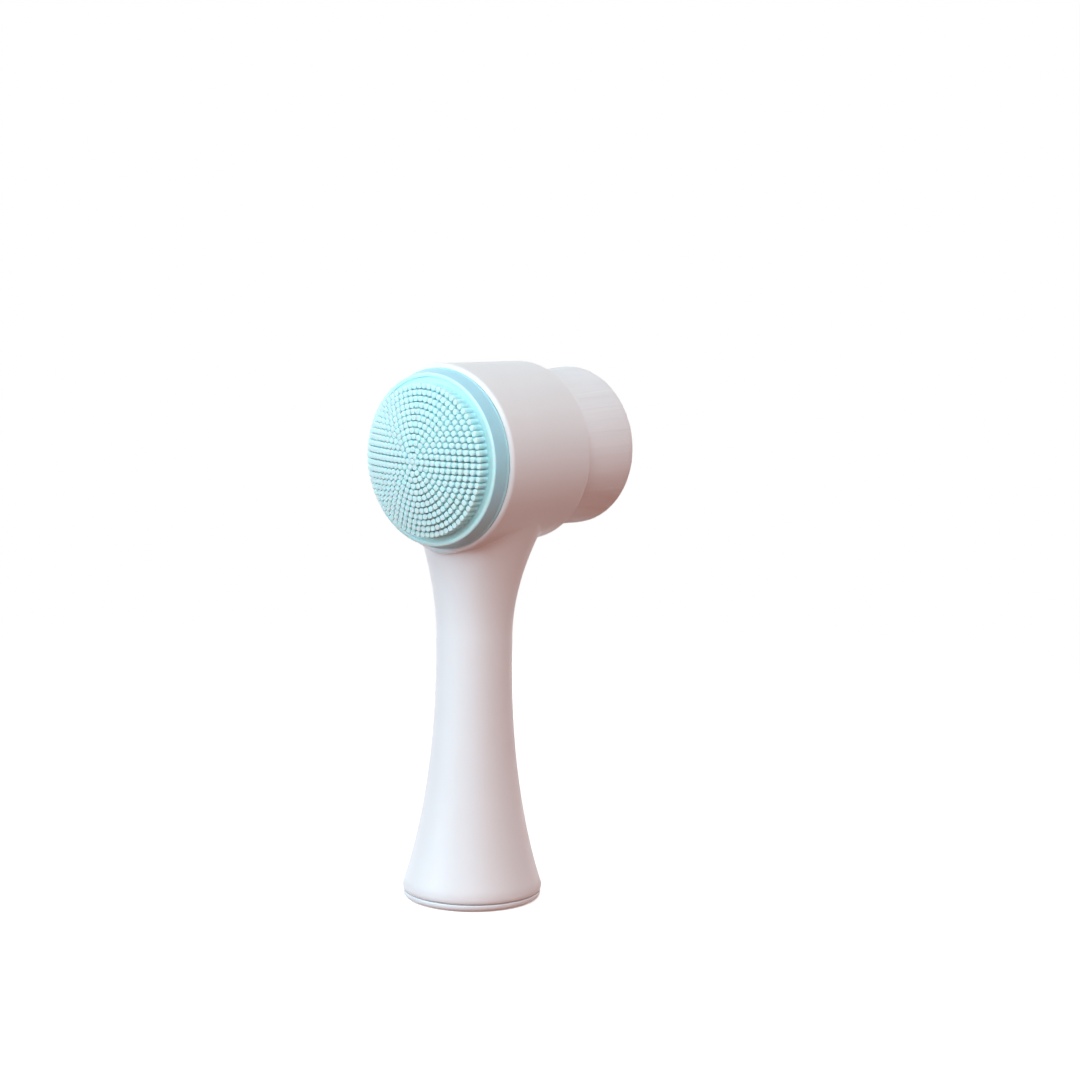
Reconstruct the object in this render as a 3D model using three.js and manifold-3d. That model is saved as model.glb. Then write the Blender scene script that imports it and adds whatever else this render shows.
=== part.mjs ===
// Two-sided facial cleansing brush: a flared handle that carries a short barrel, with a silicone
// scrubbing pad in the barrel's front and a dense fine-fibre bundle in its rear.
// Millimetres, +Z up. The origin is the centre of the foot's underside. The barrel's axis runs
// along Y: the silicone pad faces -Y and the fibre bundle faces +Y.
import * as THREE from "three";
import { mergeVertices } from "three/addons/utils/BufferGeometryUtils.js";
import Module from "manifold-3d";

const wasm = await Module();
wasm.setup();

// ---------------------------------------------------------------- driving dimensions
// Head
const headAxisZ = 120.8; // height of the barrel's axis above the table
const barrelFrontRadius = 25.1;
const barrelRearRadius = 24.25;
const barrelFrontReach = 13.6; // barrel's front face, measured from the handle's axis
const barrelRearReach = 19.7; // barrel's rear face, measured from the handle's axis
const frontLipWidth = 1.1; // width of the rounded lip between the mouth and the outside
const frontLipDepth = 1.2;
const rearEdgeRound = 1.7;
const frontMouthChamfer = 1.6;
const frontSocketWall = 1.9;
const rearSocketWall = 2.15;
const bulkheadFrontY = 1.0; // front face of the wall between the two sockets
const bulkheadThickness = 2.0;

// Handle
const footRadius = 18.95;
const footRimZ = 3.4; // height at which the foot is widest
const footSlope = 18; // degrees from vertical just above the foot
const footPull = 31.7; // how far the foot's flare keeps that slope
const waistRadius = 10.3;
const waistPullDown = 5.4;
const waistPullUp = 13.3;
const neckLength = 31.8; // from the waist up to the top of the saddle
const neckPull = 6.7; // how far the neck keeps its top slope below the saddle's top
const saddleAngle = 46.5; // how far the saddle climbs the barrel, in degrees from its bottom
const saddleCrease = 20; // degrees by which the neck is steeper than the barrel's side there
const saddleSink = 0.12; // the saddle's top ring lies this far inside the barrel's outside
const saddleShift = 2.25; // how far the neck leans back towards the barrel's middle
const handleWall = 2.2;
const coreDraft = 0.012; // the hollow's narrowing above the waist, in mm per mm
const coreTopGap = 6.5; // solid plastic left between the hollow and the barrel's underside

// Base cap
const capRimHeight = 1.9;
const capInset = 0.25; // the cap's rim stands in this far from the foot's widest ring
const capEdgeRound = 1.4;
const capFloor = 1.8;
const plugHeight = 8.2;
const plugWall = 1.5;
const plugShoulder = 3.5; // how far the plug stands in from the foot's outside
const snapBead = 0.35;
const snapBeadZ = 6.4;
const tongueSlotWidth = 2.4;
const tongueSlots = 4;
const capRibThickness = 1.4;

// Silicone pad
const padStandOut = 4.35; // rim of the pad in front of the barrel's front face
const padMouthGap = 0.35; // open ring between the pad's side wall and the barrel's mouth
const padDraft = 0.75; // the side wall narrows by this from the mouth to the rim
const padRimRound = 0.4;
const padMargin = 2.6; // from the rim in to the round field of bristles
const fieldEdgeRise = 2.5; // bristle tips above the pad's rim at the field's edge
const fieldDome = 4.5; // further rise of the tips at the centre
const padSkin = 2.2;
const skirtWall = 1.5;
const skirtLength = 6.0; // how far the skirt runs into the barrel

// Pad carrier
const carrierPlate = 2.0;
const carrierFlange = 1.5;
const carrierWall = 1.7;
const carrierRibThickness = 1.5;
const carrierTailGap = 1.6; // left free in front of the bulkhead

// Fibre cartridge
const bundleReach = 41.3; // end of the fibres, measured from the handle's axis
const bundleMouthGap = 1.3; // open ring between the fibres and the barrel's rear mouth
const bundleFlare = 0.9; // how much the fibres spread outside the barrel
const bundleFlareLength = 19;
const bundleEdgeRound = 2.0;
const cupWall = 1.1;
const cupFloor = 1.6;
const cupRecess = 2.1; // cup's rim below the barrel's rear face
const cupTailGap = 0.6; // left free behind the bulkhead
const resinThickness = 1.7;

// Fits
const seamGap = 0.25; // open seam between the foot and the base cap
const plugClearance = 0.2; // plug in the foot's bore, per side
const cartridgeClearance = 0.2; // either cartridge in its socket, per side
const gripRibHeight = 0.1; // low ribs that centre a cartridge in its socket
const gripRibWidth = 1.2;
const gripRibs = 6;
const partGap = 0.3; // between pieces that are assembled face to face

// Facets
const roundSides = 48;
const flareSteps = 10;
const arcSteps = 4;
const domeSteps = 6;

// ---------------------------------------------------------------- derived sizes
const barrelTaper = (barrelFrontRadius - barrelRearRadius) / (barrelFrontReach + barrelRearReach);
const saddleRadius = barrelFrontRadius - barrelTaper * (barrelFrontReach + saddleShift) - saddleSink;
const neckTopZ = headAxisZ - saddleRadius * Math.cos(THREE.MathUtils.degToRad(saddleAngle));
const neckTopRadius = saddleRadius * Math.sin(THREE.MathUtils.degToRad(saddleAngle));
const waistZ = neckTopZ - neckLength;
const frontMouthRadius = barrelFrontRadius - frontLipWidth;
const frontSocketRadius = barrelFrontRadius - frontSocketWall;
const rearSocketRadius = barrelRearRadius - rearSocketWall;
const bulkheadRearY = bulkheadFrontY + bulkheadThickness;
const shellFootZ = capRimHeight + seamGap;
const capRimRadius = footRadius - capInset;
const plugBoreRadius = footRadius - plugShoulder;
const plugRadius = plugBoreRadius - plugClearance;
const padRimY = -(barrelFrontReach + padStandOut);
const padWallRadius = frontMouthRadius - padMouthGap;
const padRimRadius = padWallRadius - padDraft;
const fieldRadius = padRimRadius - padMargin;
const skirtRadius = frontSocketRadius - partGap;
const skirtEndY = -barrelFrontReach + skirtLength;
const plateRadius = skirtRadius - skirtWall - partGap;
const cartridgeFrontRadius = frontSocketRadius - cartridgeClearance;
const cupRadius = rearSocketRadius - cartridgeClearance;
const cupFrontY = bulkheadRearY + cupTailGap;
const cupRimY = barrelRearReach - cupRecess;
const rootRadius = cupRadius - cupWall - partGap;
const bundleRootRadius = rearSocketRadius - bundleMouthGap;
const bundleRadius = bundleRootRadius + bundleFlare;
const resinY = cupFrontY + cupFloor + partGap;

// ---------------------------------------------------------------- outline helpers
const point = (radius, along) => new THREE.Vector2(radius, along);

// Quarter-round between two outline points, bulging towards the corner point.
function roundCorner(start, corner, end, steps = arcSteps) {
  const points = [];
  for (let i = 0; i <= steps; i += 1) {
    const turn = (i / steps) * (Math.PI / 2);
    const fromStart = 1 - Math.sin(turn);
    const fromEnd = 1 - Math.cos(turn);
    const radius = corner.x + (start.x - corner.x) * fromStart + (end.x - corner.x) * fromEnd;
    const along = corner.y + (start.y - corner.y) * fromStart + (end.y - corner.y) * fromEnd;
    points.push(point(radius, along));
  }
  return points;
}

// Turned solid about the Y axis through the origin; the outline starts and ends on the axis,
// or closes on itself.
function turned(outline, sides = roundSides) {
  return solidOf(new THREE.LatheGeometry(outline, sides));
}

// Closed manifold solid from a three.js geometry whose shared vertices are merged.
function solidOf(geometry) {
  const bare = geometry.clone();
  bare.deleteAttribute("normal");
  bare.deleteAttribute("uv");
  const merged = mergeVertices(bare, 1e-4);
  const index = merged.index.array;
  const triangles = [];
  for (let i = 0; i < index.length; i += 3) {
    const [a, b, c] = [index[i], index[i + 1], index[i + 2]];
    if (a !== b && b !== c && a !== c) {
      triangles.push(a, b, c);
    }
  }
  const vertProperties = new Float32Array(merged.attributes.position.array);
  const triVerts = facingOut(vertProperties, new Uint32Array(triangles));
  return new wasm.Manifold(new wasm.Mesh({ numProp: 3, vertProperties, triVerts }));
}

// Turns every triangle over if the closed surface encloses a negative volume.
function facingOut(vertices, triangles) {
  const corner = [new THREE.Vector3(), new THREE.Vector3(), new THREE.Vector3()];
  let volume = 0;
  for (let i = 0; i < triangles.length; i += 3) {
    for (let k = 0; k < 3; k += 1) {
      corner[k].fromArray(vertices, triangles[i + k] * 3);
    }
    volume += corner[0].dot(corner[1].cross(corner[2]));
  }
  return volume < 0 ? triangles.reverse() : triangles;
}

// Named three.js mesh from a manifold solid.
function meshOf(name, solid, material) {
  const { vertProperties, triVerts } = solid.getMesh();
  const geometry = new THREE.BufferGeometry();
  geometry.setAttribute("position", new THREE.BufferAttribute(vertProperties, 3));
  geometry.setIndex(new THREE.BufferAttribute(triVerts, 1));
  geometry.computeVertexNormals();
  const mesh = new THREE.Mesh(geometry, material);
  mesh.name = name;
  return mesh;
}

// Ring of copies of a solid about the Y axis.
function ringOfCopies(solid, count, firstDegrees = 0) {
  let ring = solid.rotate([0, firstDegrees, 0]);
  for (let i = 1; i < count; i += 1) {
    ring = ring.add(solid.rotate([0, firstDegrees + (i * 360) / count, 0]));
  }
  return ring;
}

// Box between two corners.
function block(low, high) {
  const size = high.clone().sub(low);
  const middle = low.clone().add(high).multiplyScalar(0.5);
  const geometry = new THREE.BoxGeometry(size.x, size.y, size.z);
  return solidOf(geometry.translate(middle.x, middle.y, middle.z));
}

// Low ribs along a cartridge, from startY to endY, standing gripRibHeight proud of its radius.
function gripRibRing(radius, startY, endY) {
  const depth = 0.6;
  const rib = block(
    new THREE.Vector3(-gripRibWidth / 2, startY, radius - depth),
    new THREE.Vector3(gripRibWidth / 2, endY, radius + gripRibHeight),
  );
  return ringOfCopies(rib, gripRibs, 30);
}

// ---------------------------------------------------------------- handle outline
// Lower flare, from the foot's widest ring to the waist.
function footFlare() {
  const slope = THREE.MathUtils.degToRad(footSlope);
  const curve = new THREE.CubicBezierCurve(
    point(footRadius, footRimZ),
    point(footRadius - footPull * Math.sin(slope), footRimZ + footPull * Math.cos(slope)),
    point(waistRadius, waistZ - waistPullDown),
    point(waistRadius, waistZ),
  );
  return curve.getPoints(flareSteps);
}

// Upper flare, from the waist to the top of the saddle, where it meets the barrel's side at a
// shallow crease.
function neckFlare() {
  const slope = THREE.MathUtils.degToRad(90 - saddleAngle - saddleCrease);
  const curve = new THREE.CubicBezierCurve(
    point(waistRadius, waistZ),
    point(waistRadius, waistZ + waistPullUp),
    point(neckTopRadius - neckPull * Math.sin(slope), neckTopZ - neckPull * Math.cos(slope)),
    point(neckTopRadius, neckTopZ),
  );
  return curve.getPoints(flareSteps);
}

// The neck leans back as it rises, so its rings are shifted along the handle's depth.
function neckLean(height) {
  const rise = THREE.MathUtils.clamp((height - waistZ) / neckLength, 0, 1);
  return saddleShift * rise * rise;
}

function handleOutside() {
  const closeUp = 2.4; // the flare is closed this much further in, inside the barrel
  const outline = [
    point(0, shellFootZ),
    point(footRadius - 0.2, shellFootZ),
    ...footFlare(),
    ...neckFlare().slice(1),
    point(neckTopRadius - closeUp, neckTopZ + closeUp),
    point(0, neckTopZ + closeUp),
  ];
  const geometry = new THREE.LatheGeometry(outline, roundSides);
  const place = geometry.attributes.position;
  for (let i = 0; i < place.count; i += 1) {
    place.setZ(i, place.getZ(i) - neckLean(place.getY(i)));
  }
  return solidOf(geometry);
}

// The hollow, drawn out through the foot: the plug's bore with its snap groove, then a wall's
// thickness inside the outside, then a slowly narrowing core with a round end.
function handleHollow() {
  const groove = snapBead + plugClearance;
  const boreTop = plugHeight + 0.6;
  const flare = footFlare().filter((p) => p.y > boreTop + 2);
  const inner = flare.map((p) => point(Math.min(p.x - handleWall, plugBoreRadius - 1), p.y));
  const coreTopZ = headAxisZ - barrelFrontRadius - coreTopGap;
  const coreTopRadius = waistRadius - handleWall - coreDraft * (coreTopZ - waistZ);
  const domeStart = point(coreTopRadius, coreTopZ - coreTopRadius);
  return turned([
    point(0, shellFootZ - 1),
    point(plugBoreRadius, shellFootZ - 1),
    point(plugBoreRadius, snapBeadZ - groove),
    point(plugBoreRadius + groove, snapBeadZ),
    point(plugBoreRadius, snapBeadZ + groove),
    point(plugBoreRadius, boreTop),
    ...inner,
    ...roundCorner(domeStart, point(coreTopRadius, coreTopZ), point(0, coreTopZ), 5),
  ]);
}

// ---------------------------------------------------------------- pieces, about the Y axis
// Barrel's outside: rounded front lip, slight taper, rounded rear edge.
function barrelOutside() {
  const front = -barrelFrontReach;
  return turned([
    point(0, front),
    ...roundCorner(
      point(frontMouthRadius, front),
      point(barrelFrontRadius, front),
      point(barrelFrontRadius, front + frontLipDepth),
    ),
    ...roundCorner(
      point(barrelRearRadius, barrelRearReach - rearEdgeRound),
      point(barrelRearRadius, barrelRearReach),
      point(barrelRearRadius - rearEdgeRound, barrelRearReach),
    ),
    point(0, barrelRearReach),
  ]);
}

function frontSocket() {
  const front = -barrelFrontReach;
  const past = 6; // the cutter runs this far out of the mouth
  return turned([
    point(0, front - past),
    point(frontMouthRadius, front - past),
    point(frontMouthRadius, front),
    point(frontSocketRadius, front + frontMouthChamfer),
    point(frontSocketRadius, bulkheadFrontY),
    point(0, bulkheadFrontY),
  ]);
}

function rearSocket() {
  const past = 6;
  return turned([
    point(0, bulkheadRearY),
    point(rearSocketRadius, bulkheadRearY),
    point(rearSocketRadius, barrelRearReach + past),
    point(0, barrelRearReach + past),
  ]);
}

// Barrel and handle, moulded as one; built upright, with the barrel lifted onto its axis.
function bodyShell() {
  const handle = handleOutside().subtract(handleHollow()).rotate([90, 0, 0]);
  const lift = [0, 0, headAxisZ];
  return handle
    .add(barrelOutside().translate(lift))
    .subtract(frontSocket().translate(lift))
    .subtract(rearSocket().translate(lift));
}

// Snap-in plug that closes the foot. Its rim is the lowest 2 mm of the foot.
function baseCap() {
  const disc = turned([
    point(0, 0),
    ...roundCorner(
      point(capRimRadius - capEdgeRound, 0),
      point(capRimRadius, 0),
      point(capRimRadius, capEdgeRound),
    ),
    point(capRimRadius, capRimHeight),
    point(plugRadius, capRimHeight),
    point(plugRadius, snapBeadZ - snapBead),
    point(plugRadius + snapBead, snapBeadZ),
    point(plugRadius, snapBeadZ + snapBead),
    point(plugRadius, plugHeight),
    point(plugRadius - plugWall, plugHeight),
    point(plugRadius - plugWall, capFloor),
    point(0, capFloor),
  ]);
  const slot = block(
    new THREE.Vector3(-tongueSlotWidth / 2, capFloor + 1, 0),
    new THREE.Vector3(tongueSlotWidth / 2, plugHeight + 1, footRadius),
  );
  const ribReach = plugRadius - plugWall / 2;
  const rib = block(
    new THREE.Vector3(-ribReach, capFloor / 2, -capRibThickness / 2),
    new THREE.Vector3(ribReach, capFloor + 1.6, capRibThickness / 2),
  );
  const ribs = rib.add(rib.rotate([0, 90, 0]));
  return disc.subtract(ringOfCopies(slot, tongueSlots, 45)).add(ribs).rotate([90, 0, 0]);
}

// Silicone pad: a skin with a standing rim and side wall, a skirt that wraps the carrier, and
// the bristle field as one domed solid of its true outer shape.
function siliconePad() {
  const front = -barrelFrontReach;
  const insideRadius = skirtRadius - skirtWall;
  const dome = [];
  for (let i = 0; i <= domeSteps; i += 1) {
    const out = i / domeSteps;
    dome.push(point(out * fieldRadius, padRimY - fieldEdgeRise - fieldDome * (1 - out * out)));
  }
  return turned([
    ...dome,
    point(fieldRadius, padRimY + 0.15),
    ...roundCorner(
      point(padRimRadius - padRimRound, padRimY),
      point(padRimRadius, padRimY),
      point(padRimRadius, padRimY + padRimRound),
      3,
    ),
    point(padWallRadius, front - 0.4),
    point(skirtRadius, front + frontMouthChamfer - 0.3),
    point(skirtRadius, skirtEndY),
    point(insideRadius, skirtEndY),
    point(insideRadius, padRimY + padSkin),
    point(0, padRimY + padSkin),
  ]);
}

// Rigid plug under the pad: face plate inside the skirt, flange behind it, ring in the socket.
function padCarrier() {
  const plateY = padRimY + padSkin + partGap;
  const flangeY = skirtEndY + partGap;
  const tailY = bulkheadFrontY - carrierTailGap;
  const ringInside = cartridgeFrontRadius - carrierWall;
  const ringStart = flangeY + carrierFlange;
  const hubInside = plateRadius - carrierWall;
  const body = turned([
    point(0, plateY),
    point(plateRadius, plateY),
    point(plateRadius, flangeY),
    point(cartridgeFrontRadius, flangeY),
    point(cartridgeFrontRadius, tailY),
    point(ringInside, tailY),
    point(ringInside, ringStart),
    point(hubInside, ringStart),
    point(hubInside, plateY + carrierPlate),
    point(0, plateY + carrierPlate),
  ]);
  const ribReach = hubInside + carrierWall / 2;
  const rib = block(
    new THREE.Vector3(-ribReach, plateY + carrierPlate / 2, -carrierRibThickness / 2),
    new THREE.Vector3(ribReach, ringStart, carrierRibThickness / 2),
  );
  const ribs = rib.add(rib.rotate([0, 60, 0])).add(rib.rotate([0, 120, 0]));
  return body.add(ribs).add(gripRibRing(cartridgeFrontRadius, flangeY + 1, tailY - 0.5));
}

// Cup that holds the fibres' roots.
function bristleCup() {
  const inside = cupRadius - cupWall;
  const cup = turned([
    point(0, cupFrontY),
    point(cupRadius - 0.5, cupFrontY),
    point(cupRadius, cupFrontY + 0.5),
    point(cupRadius, cupRimY),
    point(inside, cupRimY),
    point(inside, cupFrontY + cupFloor),
    point(0, cupFrontY + cupFloor),
  ]);
  return cup.add(gripRibRing(cupRadius, cupFrontY + 1, cupRimY - 1));
}

// Disc of set resin that locks the roots into the cup.
function rootResin() {
  return turned([
    point(0, resinY),
    point(rootRadius, resinY),
    point(rootRadius, resinY + resinThickness),
    point(0, resinY + resinThickness),
  ]);
}

// Fine-fibre bundle: narrow inside the cup, and spreading to its full width outside it.
function bristleBundle() {
  const rootY = resinY + resinThickness + partGap;
  const spreadY = cupRimY + 0.6;
  return turned([
    point(0, rootY),
    point(rootRadius, rootY),
    point(rootRadius, spreadY),
    point(bundleRootRadius, spreadY + 0.8),
    point(bundleRadius, spreadY + bundleFlareLength),
    ...roundCorner(
      point(bundleRadius, bundleReach - bundleEdgeRound),
      point(bundleRadius, bundleReach),
      point(bundleRadius - bundleEdgeRound, bundleReach),
    ),
    point(0, bundleReach),
  ]);
}

// ---------------------------------------------------------------- materials
const finish = (color, roughness) =>
  new THREE.MeshStandardMaterial({ color, roughness, metalness: 0 });
const whiteShell = finish(0xf1eeee, 0.32);
const whiteCap = finish(0xeeeaea, 0.36);
const aquaSilicone = finish(0x9fdfe6, 0.48);
const naturalPlastic = finish(0xdfe3e4, 0.55);
const whiteFibre = finish(0xf4f0ef, 0.8);
const clearResin = finish(0xd9cfae, 0.3);

// ---------------------------------------------------------------- assembly
const brush = new THREE.Group();
brush.name = "facial_cleansing_brush";

brush.add(meshOf("body_shell", bodyShell(), whiteShell));
brush.add(meshOf("base_cap", baseCap(), whiteCap));

const head = new THREE.Group();
head.position.z = headAxisZ;
head.add(meshOf("silicone_pad", siliconePad(), aquaSilicone));
head.add(meshOf("pad_carrier", padCarrier(), naturalPlastic));
head.add(meshOf("bristle_cup", bristleCup(), naturalPlastic));
head.add(meshOf("root_resin", rootResin(), clearResin));
head.add(meshOf("bristle_bundle", bristleBundle(), whiteFibre));
brush.add(head);

export default brush;
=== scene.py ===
"""Looks of a two-sided facial cleansing brush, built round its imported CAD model.

Outlines are in millimetres, in the same frame as the CAD model: +Z up, origin under the foot's
centre, the barrel's axis along Y at height HEAD_Z, silicone facing -Y and fibres facing +Y.
"""

import math
import random

import bmesh
import bpy
import numpy as np
from mathutils import Matrix, Vector


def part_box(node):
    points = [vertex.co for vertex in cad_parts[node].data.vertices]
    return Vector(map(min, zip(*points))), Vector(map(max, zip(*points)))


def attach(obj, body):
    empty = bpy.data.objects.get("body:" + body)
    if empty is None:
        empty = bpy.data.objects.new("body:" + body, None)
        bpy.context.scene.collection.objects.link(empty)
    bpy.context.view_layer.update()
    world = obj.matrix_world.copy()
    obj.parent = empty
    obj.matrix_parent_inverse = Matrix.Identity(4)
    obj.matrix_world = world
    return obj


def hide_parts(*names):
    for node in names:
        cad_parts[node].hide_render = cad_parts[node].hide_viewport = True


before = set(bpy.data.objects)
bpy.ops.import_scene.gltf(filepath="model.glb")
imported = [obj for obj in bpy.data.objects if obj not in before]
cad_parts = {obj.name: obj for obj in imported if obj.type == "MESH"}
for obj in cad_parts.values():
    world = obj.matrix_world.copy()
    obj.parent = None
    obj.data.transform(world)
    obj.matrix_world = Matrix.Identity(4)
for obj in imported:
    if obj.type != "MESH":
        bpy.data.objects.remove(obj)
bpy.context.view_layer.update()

MM = 0.001  # metres in a millimetre


def extent(node, axis):
    """Lowest and highest coordinate of a CAD node along one axis, in millimetres."""
    low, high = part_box(node)
    return low[axis] / MM, high[axis] / MM


# ------------------------------------------------------------------ sizes, from the frame
X, Y, Z = 0, 1, 2
HEAD_Z = sum(extent("silicone_pad", Z)) / 2
BARREL_FRONT_RADIUS = extent("body_shell", X)[1]
BARREL_FRONT = -13.6  # the foot reaches further forward, so the shell's box doesn't give it
BARREL_REAR = extent("body_shell", Y)[1]
FOOT_Z = extent("body_shell", Z)[0]
PAD_TIP, SKIRT_END = extent("silicone_pad", Y)
SKIRT_OUTER_RADIUS = BARREL_FRONT_RADIUS - 2.2
CARRIER_FRONT, CARRIER_TAIL = extent("pad_carrier", Y)
CUP_FRONT, CUP_RIM = extent("bristle_cup", Y)
RESIN_FRONT, RESIN_REAR = extent("root_resin", Y)
ROOT_RADIUS = extent("root_resin", X)[1]
BUNDLE_ROOT, BUNDLE_END = extent("bristle_bundle", Y)
BUNDLE_RADIUS = extent("bristle_bundle", X)[1]
CAP_RIM_RADIUS = extent("base_cap", X)[1]
CAP_TOP = extent("base_cap", Z)[1]

# Barrel
BARREL_REAR_RADIUS = BARREL_FRONT_RADIUS - 0.85
LIP_WIDTH = 1.1
LIP_DEPTH = 1.2
REAR_EDGE_ROUND = 1.7
MOUTH_RADIUS = BARREL_FRONT_RADIUS - LIP_WIDTH
MOUTH_CHAMFER = 1.6
FRONT_SOCKET_RADIUS = BARREL_FRONT_RADIUS - 1.9
REAR_SOCKET_RADIUS = BARREL_REAR_RADIUS - 2.15
BULKHEAD_FRONT = 1.0
BULKHEAD_REAR = 3.0
CUTTER_PAST = 6  # how far a socket's cutter reaches past the barrel's end

# Handle
FOOT_RADIUS = CAP_RIM_RADIUS + 0.25
FOOT_RIM_Z = FOOT_Z + 1.25
FOOT_SLOPE = math.radians(18)
FOOT_PULL = 31.7  # the pulls are how far each end of a flare's curve keeps its direction
FOOT_WAIST_PULL = 5.4
WAIST_RADIUS = 10.3
NECK_WAIST_PULL = 13.3
NECK_PULL = 6.7
NECK_LENGTH = 31.8
NECK_LEAN = 2.25
SADDLE_ANGLE = math.radians(46.5)
SADDLE_CREASE = math.radians(20)
SADDLE_SINK = 0.12
CREASE_ROUND = 1.0
HANDLE_WALL = 2.2
CAP_BORE_RADIUS = FOOT_RADIUS - 3.5
CAP_PLUG_RADIUS = FOOT_RADIUS - 3.7
SNAP_Z = 6.4

# Silicone pad
PAD_RIM = BARREL_FRONT - 4.35
PAD_WALL_RADIUS = MOUTH_RADIUS - 0.35
PAD_RIM_RADIUS = PAD_WALL_RADIUS - 0.75
PAD_RIM_ROUND = 0.4
RIM_BEAD_WIDTH = 1.2
MARGIN_DEPTH = 0.35
FIELD_RADIUS = PAD_RIM_RADIUS - 2.6
FIELD_DOME = 4.5
SKIN_DOME = FIELD_DOME - 0.9
BRISTLE_RINGS = 12
BRISTLE_RADIUS = 0.75
BRISTLE_ROOT = 0.4  # how deep a bristle's foot stands in the skin

# Facets
FINE_SIDES = 192
ARC_STEPS = 10


# ------------------------------------------------------------------ camera
CAMERA_AZIMUTH = math.radians(40.566)
CAMERA_ELEVATION = math.radians(7.944)
CAMERA_ROLL = math.radians(0.721)
CAMERA_DISTANCE = 0.72837
CAMERA_AIM = Vector((0.0, 0.0, 0.1))
CAMERA_RIGHT_OF_AIM = 0.01738
CAMERA_BELOW_AIM = 0.00217


def direction(azimuth, elevation):
    """Unit vector from the object towards a viewer at that azimuth and elevation."""
    flat = math.cos(elevation)
    return Vector((math.sin(azimuth) * flat, -math.cos(azimuth) * flat, math.sin(elevation)))


def make_camera():
    back = direction(CAMERA_AZIMUTH, CAMERA_ELEVATION)
    level = Vector((math.cos(CAMERA_AZIMUTH), math.sin(CAMERA_AZIMUTH), 0.0))
    upright = back.cross(level)
    right = level * math.cos(CAMERA_ROLL) + upright * math.sin(CAMERA_ROLL)
    up = upright * math.cos(CAMERA_ROLL) - level * math.sin(CAMERA_ROLL)
    data = bpy.data.cameras.new("camera")
    data.sensor_width = 36.0
    data.lens = 90.5
    data.clip_start = 0.01
    data.clip_end = 20.0
    camera = bpy.data.objects.new("camera", data)
    turn = Matrix((right, up, back)).transposed().to_4x4()
    spot = CAMERA_AIM + back * CAMERA_DISTANCE
    spot = spot + right * CAMERA_RIGHT_OF_AIM - up * CAMERA_BELOW_AIM
    camera.matrix_world = Matrix.Translation(spot) @ turn
    bpy.context.scene.collection.objects.link(camera)
    bpy.context.scene.camera = camera


make_camera()


# ------------------------------------------------------------------ mesh helpers
def about_barrel(radius, along, angle):
    """Point of a piece turned about the barrel's axis."""
    return (radius * math.cos(angle), along, HEAD_Z + radius * math.sin(angle))


def about_handle(radius, along, angle):
    """Point of a piece turned about the handle's axis."""
    return (radius * math.cos(angle), radius * math.sin(angle), along)


def quarter_round(start, corner, end, steps=ARC_STEPS):
    """Quarter-round between two outline points, bulging towards the corner point."""
    points = []
    for i in range(steps + 1):
        turn = i / steps * math.pi / 2
        from_start, from_end = 1 - math.sin(turn), 1 - math.cos(turn)
        points.append(tuple(
            c + (s - c) * from_start + (e - c) * from_end
            for s, c, e in zip(start, corner, end)
        ))
    return points


def bezier(p0, p1, p2, p3, steps):
    """Points of a cubic curve, both ends included."""
    share = np.linspace(0, 1, steps + 1)[:, None]
    p0, p1, p2, p3 = (np.array(p) for p in (p0, p1, p2, p3))
    rest = 1 - share
    return rest**3 * p0 + 3 * rest**2 * share * p1 + 3 * rest * share**2 * p2 + share**3 * p3


def straight(start, end, steps):
    """Outline points between two points, both ends left out."""
    share = np.linspace(0, 1, steps + 1)[1:-1, None]
    return [tuple(p) for p in np.array(start) * (1 - share) + np.array(end) * share]


def link(name, vertices, faces):
    """Mesh object from vertices in millimetres, with its faces turned outwards."""
    mesh = bpy.data.meshes.new(name)
    mesh.from_pydata((np.array(vertices) * MM).tolist(), [], faces)
    shaped = bmesh.new()
    shaped.from_mesh(mesh)
    if shaped.calc_volume(signed=True) < 0:
        bmesh.ops.reverse_faces(shaped, faces=shaped.faces)
    shaped.to_mesh(mesh)
    shaped.free()
    piece = bpy.data.objects.new(name, mesh)
    bpy.context.scene.collection.objects.link(piece)
    return piece


def grid_faces(rings):
    """Faces between rings of vertex numbers, each a full turn or a single point on the axis."""
    faces = []
    for low, high in zip(rings, rings[1:]):
        sides = max(len(low), len(high))
        for i in range(sides):
            j = (i + 1) % sides
            if len(low) == 1:
                faces.append((low[0], high[j], high[i]))
            elif len(high) == 1:
                faces.append((low[i], low[j], high[0]))
            else:
                faces.append((low[i], low[j], high[j], high[i]))
    return faces


def turned(name, outline, place=about_barrel, sides=FINE_SIDES):
    """Closed turned solid. Its outline is (radius, along) points, from the axis to the axis."""
    vertices, rings = [], []
    for radius, along in outline:
        count = sides if radius > 1e-6 else 1
        rings.append(range(len(vertices), len(vertices) + count))
        vertices += [place(radius, along, 2 * math.pi * i / sides) for i in range(count)]
    return link(name, vertices, grid_faces(rings))


def block(name, low, high, turn=0.0, about=about_barrel):
    """Box between two corners, given as (across, along, out) and turned about an axis."""
    vertices = []
    for across in (low[0], high[0]):
        for along in (low[1], high[1]):
            for out in (low[2], high[2]):
                angle = math.atan2(across, out) + turn
                vertices.append(about(math.hypot(across, out), along, angle))
    faces = [(0, 1, 3, 2), (4, 6, 7, 5), (0, 4, 5, 1), (2, 3, 7, 6), (0, 2, 6, 4), (1, 5, 7, 3)]
    return link(name, vertices, faces)


def combine(base, other, operation):
    """Joins another solid to a piece, or cuts it away, and removes that other solid."""
    modifier = base.modifiers.new(operation.lower(), "BOOLEAN")
    modifier.operation = operation
    modifier.solver = "MANIFOLD"
    modifier.object = other
    made = base.evaluated_get(bpy.context.evaluated_depsgraph_get())
    result = bpy.data.meshes.new_from_object(made)
    base.modifiers.clear()
    base.data = result
    bpy.data.objects.remove(other)
    return base


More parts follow.
